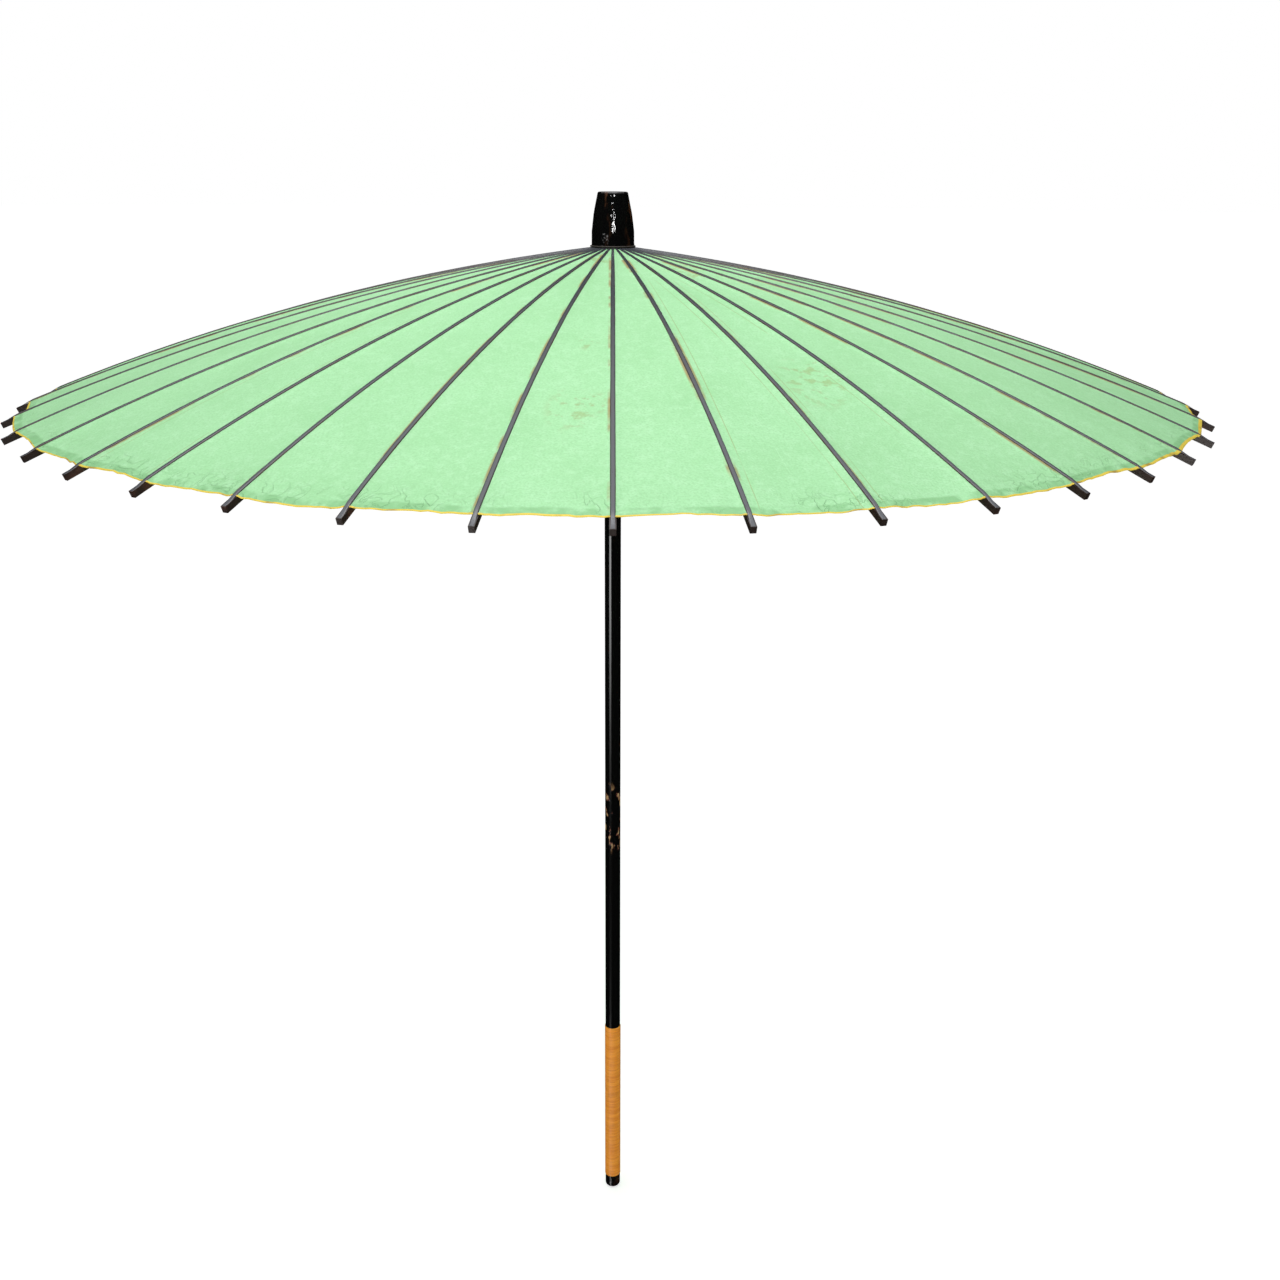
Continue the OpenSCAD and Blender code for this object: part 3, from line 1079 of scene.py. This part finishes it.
    def layers(self) -> list[Layer]:
        """The four sheets of a rib, with their flat sizes."""
        chord = 2 * math.sin(self.arc.half_turn)
        width, length = chord * self.outer, self.outer - self.inner
        paper_flat = width, length, length * (width + chord * self.inner) / 2
        low, high = self.lining_reach
        samples = 40
        cuts = [low + (high - low) * (n + 0.5) / samples for n in range(samples)]
        widths = [chord * x * between(x, self.lining_widths) for x in cuts]
        lining_flat = max(widths), high - low, sum(widths) / samples * (high - low)
        paper, yellow = OiledPaper(blots=self.blots).make(), YellowEdging().make()
        lacquer = LineLacquer(self.arc.count).make()
        return [
            Layer("paper", Slot.PAPER, paper, self.grid, self.thickness, self.paper_point,
                  keep=self.closed_share, flat=paper_flat, stands_for="canopy"),
            Layer("lining", Slot.PAPER, paper, (8, 30), 0.1 * MM, self.lining_point,
                  keep=self.lining_share, flat=lining_flat),
            Layer("edging", Slot.EDGING, yellow, (self.grid[0], 8), 0.12 * MM, self.edging_point,
                  keep=0.85 * self.closed_share, stands_for="rim_cord"),
            Layer("line", Slot.RIB, lacquer, (10, 110), 0.16 * MM, self.line_point),
        ]

    def build(self) -> None:
        """Makes every rib's paper, lining, edging and line."""
        layers = self.layers()
        for index in range(self.arc.count):
            for layer in layers:
                self.lay(layer, index)
        LOG.info("canopy: %d gores of paper with lining, edging and lines", self.arc.count)


@dataclass
class Ribs:
    """Ribs, and the stretchers that brace them from the runner.

    A stretcher without a joint goes with the runner. closed_way, given as distance from the shaft and height,
    is the way it would lie down by the runner as the umbrella closes; it is not applied to the stretchers.
    """

    arc: RibArc
    closed_way: Pair = (0.0928, 0.9957)
    closed_share: float = 0.02
    foot_rise: float = 1.5 * MM

    def dress_ribs(self) -> None:
        """Lacquers the ribs."""
        lacquer = RibLacquer(self.arc.count).make()
        for index in range(self.arc.count):
            dress(frame["nodes"][f"rib_{index:02d}"], lacquer)

    def make_stretchers(self) -> None:
        """Makes the stretchers without a joint of their own, which go with the runner."""
        bamboo = SplitBamboo(self.arc.count).make()
        own = [n for n in frame["bodies"] if n.startswith("stretcher_")]
        for name in own:
            dress(frame["nodes"][name], bamboo)
        pin = joint(f"{own[0]}_swing")["pos_m"]
        low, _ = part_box(own[0])
        foot = Vector((self.arc.hinge_x, 0.0, low.z + self.foot_rise))
        out, up = self.closed_way
        square = Vector((up, 0.0, -out))
        LOG.info("stretchers: %.0f mm from runner to rib", (Vector(pin) - foot).length / MM)
        for index in range(self.arc.count):
            if f"stretcher_{index:02d}" in own:
                continue
            turn = self.arc.turn(index)
            piece = copy_of_node(own[0], f"brace_{index:02d}", turn)
            dress(piece, bamboo)
            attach(piece, "runner")
            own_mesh(piece)
            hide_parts("stretchers")

    def build(self) -> None:
        """Dresses the ribs and makes the stretchers."""
        self.dress_ribs()
        self.make_stretchers()


@dataclass
class HeadCap:
    """Black lacquered cap over the hub, with the hub and their threads."""

    wall: float = 1.0 * MM
    top_radius: float = 13.1 * MM
    sides: int = 96
    rings: int = 22
    pleat: float = 0.4 * MM
    lump: float = 0.1 * MM

    def outline(self, foot: float, top: float, radius: float) -> Pairs:
        """The shell's rings, from its foot to near the middle of its top.

        Args:
            foot: Height of its foot.
            top: Height of its top.
            radius: Radius of its foot.

        Returns:
            Radius and height of each ring.
        """
        upper = self.top_radius
        side = [(0.0, radius), (0.1, radius - 0.3 * MM), (0.3, radius - 0.45 * MM)]
        side += [(0.6, radius - 2.1 * MM), (0.97, upper)]
        profile = []
        for (low, low_radius), (high, high_radius) in zip(side, side[1:]):
            steps = max(2, round((high - low) * self.rings))
            for share in (step / steps for step in range(steps)):
                ring = low_radius + (high_radius - low_radius) * share
                profile.append((ring, foot + (top - foot) * (low + (high - low) * share)))
        profile += [(upper, top - 1.4 * MM), (upper - 0.45 * MM, top - 0.5 * MM)]
        profile += [(upper - 1.5 * MM, top - 0.1 * MM)]
        return profile + [(upper * share, top) for share in (0.72, 0.4, 0.12)]

    def roughen(self, piece: Piece) -> None:
        """Gives the shell its pleats and lumps, apart from the middle of its top.

        Args:
            piece: The shell.
        """
        for vertex in piece.data.vertices:
            point = vertex.co
            way = Vector((point.x, point.y, 0)).normalized()
            pleat = noise.noise(Vector((way.x * 5, way.y * 5, point.z * 12))) * self.pleat
            lump = noise.noise(Vector((point.x * 260, point.y * 260, point.z * 160))) * self.lump
            vertex.co = point + way * (pleat + lump) * ease(point.xy.length, 0, self.top_radius * 0.8)

    def make_shell(self) -> None:
        """Turns the cap's shell and closes its top."""
        low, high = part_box("head_cap")
        foot, top = low.z, high.z
        piece = turned("cap_shell", self.outline(foot, top, high.x), self.sides)
        pick(piece)
        bpy.ops.object.mode_set(mode="EDIT")
        select_points(piece, lambda p: p.z > top - 0.05 * MM and p.xy.length < self.top_radius * 0.2)
        bpy.ops.mesh.edge_face_add()
        bpy.ops.object.mode_set(mode="OBJECT")
        self.roughen(piece)
        outward(piece)
        wall = piece.modifiers.new("wall", "SOLIDIFY")
        wall.thickness = self.wall
        wall.offset = -1
        smooth(piece, 60)
        dress(piece, CapLacquer(foot, top).make())
        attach(piece, "root")
        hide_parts("head_cap")
        LOG.info("cap: %.0f mm high", (top - foot) / MM)

    def build(self) -> None:
        """Makes the cap and dresses the hub, the runner and their threads."""
        self.make_shell()
        thread = WaxedThread().make()
        for node in ("cap_cord", "hub_cord", "runner_cord"):
            dress(frame["nodes"][node], thread)
        wood = TurnedWood().make()
        for node in ("head_hub", "runner"):
            dress(frame["nodes"][node], wood)


@dataclass
class Shaft:
    """Shaft with its catch, the rattan wound grip and the rounded end."""

    rib_count: int
    pitch: float = 1.3 * MM
    strip_depth: float = 0.36 * MM
    strip_wave: float = 0.06 * MM
    steps: int = 28
    chips: Pair = (0.395, 0.475)
    end_margin: float = 100 * MM

    def make_winding(self) -> None:
        """Winds a flat rattan strip round the grip, turn against turn."""
        low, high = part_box("grip_wrap")
        centre = high.x - self.strip_depth
        deselect_all()
        bpy.ops.mesh.primitive_circle_add(
            vertices=8,
            radius=self.pitch / 2,
            location=(centre, 0, low.z + self.pitch / 2),
            rotation=(math.pi / 2, 0, 0),
        )
        piece = newest("rattan_winding")
        piece.scale = (2 * self.strip_depth / self.pitch, 1, 1)
        settle(piece)
        turns = int((high.z - low.z) / self.pitch) - 1
        screw = piece.modifiers.new("winding", "SCREW")
        screw.axis = "Z"
        screw.screw_offset = self.pitch
        screw.iterations = turns
        screw.steps = screw.render_steps = self.steps
        apply_modifiers(piece)
        pick(piece)
        bpy.ops.object.mode_set(mode="EDIT")
        bpy.ops.mesh.select_all(action="SELECT")
        bpy.ops.mesh.normals_make_consistent(inside=False)
        bpy.ops.mesh.select_all(action="DESELECT")
        bpy.ops.mesh.select_mode(type="EDGE")
        bpy.ops.mesh.select_non_manifold(extend=False, use_wire=False, use_boundary=True)
        bpy.ops.mesh.edge_face_add()
        bpy.ops.object.mode_set(mode="OBJECT")
        for vertex in piece.data.vertices:
            way = Vector((vertex.co.x, vertex.co.y, 0)).normalized()
            wave = noise.noise(Vector((way.x * 2, way.y * 2, vertex.co.z * 160)))
            vertex.co += way * self.strip_wave * wave
        smooth(piece, 60)
        dress(piece, Rattan(self.pitch).make())
        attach(piece, "root")
        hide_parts("grip_wrap")
        LOG.info("grip: %d turns of rattan", turns)

    def build(self) -> None:
        """Winds the grip and dresses the shaft, its end and its catch."""
        self.make_winding()
        nodes = frame["nodes"]
        dress(nodes["shaft"], ShaftLacquer(*self.chips).make())
        low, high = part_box("end_ferrule")
        dress(nodes["end_ferrule"], CapLacquer(low.z - self.end_margin, high.z + self.end_margin).make())
        steel = SpringSteel().make()
        dress(nodes["catch_pin"], steel)
        dress(nodes["catch_spring"], steel)
        dress(nodes["catch_tongue"], SplitBamboo(self.rib_count).make())


@dataclass(frozen=True)
class SoftBox:
    """A rectangular light that points at the shaft's axis."""

    name: str
    place: tuple[float, float, float]
    aim: float
    size: Pair
    watts: float

    def hang(self) -> None:
        """Hangs the light."""
        data = bpy.data.lights.new(self.name, "AREA")
        data.shape = "RECTANGLE"
        data.size, data.size_y = self.size
        data.energy = self.watts
        light = bpy.data.objects.new(self.name, data)
        light.location = self.place
        light.rotation_mode = "QUATERNION"
        way = Vector((0, 0, self.aim)) - Vector(self.place)
        light.rotation_quaternion = way.to_track_quat("-Z", "Y")
        bpy.context.scene.collection.objects.link(light)


@dataclass
class Studio:
    """Pale floor, soft light from above and the camera."""

    distance: float = 1.2484
    eye: float = 1.0268
    pitch: float = 0.3175
    yaw: float = 0.0205
    roll: float = 0.0065
    lens: float = 39.26
    sky_light: float = 0.45
    floor_glow: float = 0.62
    floor_radius: float = 60.0
    ceiling_light: float = 1.8
    window_light: float = 8.0
    window_turn: float = -0.68
    window_side: Pair = (0.972, 0.992)
    lights: Sequence[SoftBox] = (
        SoftBox("overhead", (-0.05, -0.30, 1.95), 0.9, (0.9, 0.7), 6.8),
        SoftBox("lamp", (0.05, -1.75, 1.42), 1.0, (0.05, 0.4), 5.0),
    )

    def make_camera(self) -> None:
        """Sets the camera up, looking down at the open umbrella."""
        data = bpy.data.cameras.new("camera")
        data.lens = self.lens
        data.sensor_width = 36
        camera = bpy.data.objects.new("camera", data)
        bpy.context.scene.collection.objects.link(camera)
        right = Vector((math.cos(self.yaw), -math.sin(self.yaw), 0))
        level = Vector((math.sin(self.yaw), math.cos(self.yaw), 0)) * math.cos(self.pitch)
        ahead = level - Vector((0, 0, math.sin(self.pitch)))
        up = right.cross(ahead)
        side = right * math.cos(self.roll) + up * math.sin(self.roll)
        head = up * math.cos(self.roll) - right * math.sin(self.roll)
        camera.matrix_world = Matrix.Translation((0, -self.distance, self.eye)) @ Matrix(
            (
                (side.x, head.x, -ahead.x, 0),
                (side.y, head.y, -ahead.y, 0),
                (side.z, head.z, -ahead.z, 0),
                (0, 0, 0, 1),
            )
        )
        bpy.context.scene.camera = camera

    def make_world(self) -> None:
        """Surrounds the set with even white; what lacquer mirrors is a darker room with a bright window."""
        world = bpy.data.worlds.new("studio")
        bpy.context.scene.world = world
        world.use_nodes = True
        bench = Bench("mirrored_room", world.node_tree)
        x, y, z = bench.parts(bench.way)
        left = math.sin(self.window_turn), -math.cos(self.window_turn)
        level = bench.maths("SQRT", x * x + y * y)
        facing = (x * left[0] + y * left[1]) / level
        window = bench.step(facing, *self.window_side)
        window = window * (bench.step(abs(z + 0.2), 0.2, 0.04) + bench.step(z, -0.56, -0.6) * 0.4)
        mirrored = bench.step(z, 0.45, 0.9) * self.ceiling_light + window * self.window_light
        seen = bench.path("Is Camera Ray")
        glossy = bench.path("Is Glossy Ray")
        soft = self.sky_light - x * 0.2
        strength = soft + (mirrored - soft) * glossy
        strength = strength + (1.0 - strength) * seen
        dome = bench.add("Background", None, {"Color": (1, 1, 1, 1), "Strength": strength})
        bench.add("OutputWorld", None, {0: Wire(bench, dome.outputs[0])})

    def make_floor(self) -> None:
        """Lays a wide pale floor under the umbrella's end."""
        deselect_all()
        below = (0, 0, -0.5 * MM)
        bpy.ops.mesh.primitive_circle_add(
            vertices=96, radius=self.floor_radius, fill_type="NGON", location=below
        )
        floor = newest("floor")
        settle(floor)
        floor.visible_glossy = False
        bench = Bench("pale_floor")
        tone = bench.blend(bench.grain(3, 3) * 0.5, (0.90, 0.90, 0.90), (0.87, 0.87, 0.87))
        glow = {"Specular_IOR_Level": 0.0, "Emission_Color": (1, 1, 1, 1)}
        glow["Emission_Strength"] = self.floor_glow
        dress(floor, bench.finish(tone, 0.8, **glow))

    def build(self) -> None:
        """Sets the studio up."""
        bpy.context.scene.view_settings.view_transform = "Standard"
        self.make_camera()
        self.make_world()
        self.make_floor()
        for light in self.lights:
            light.hang()


def main() -> None:
    """Builds the umbrella and its studio."""
    logging.basicConfig(level=logging.INFO, format="%(name)s %(message)s")
    Studio().build()
    arc = RibArc.from_frame()
    Canopy(arc).build()
    Ribs(arc).build()
    HeadCap().build()
    Shaft(arc.count).build()
    deselect_all()


if __name__ == "__main__":
    main()
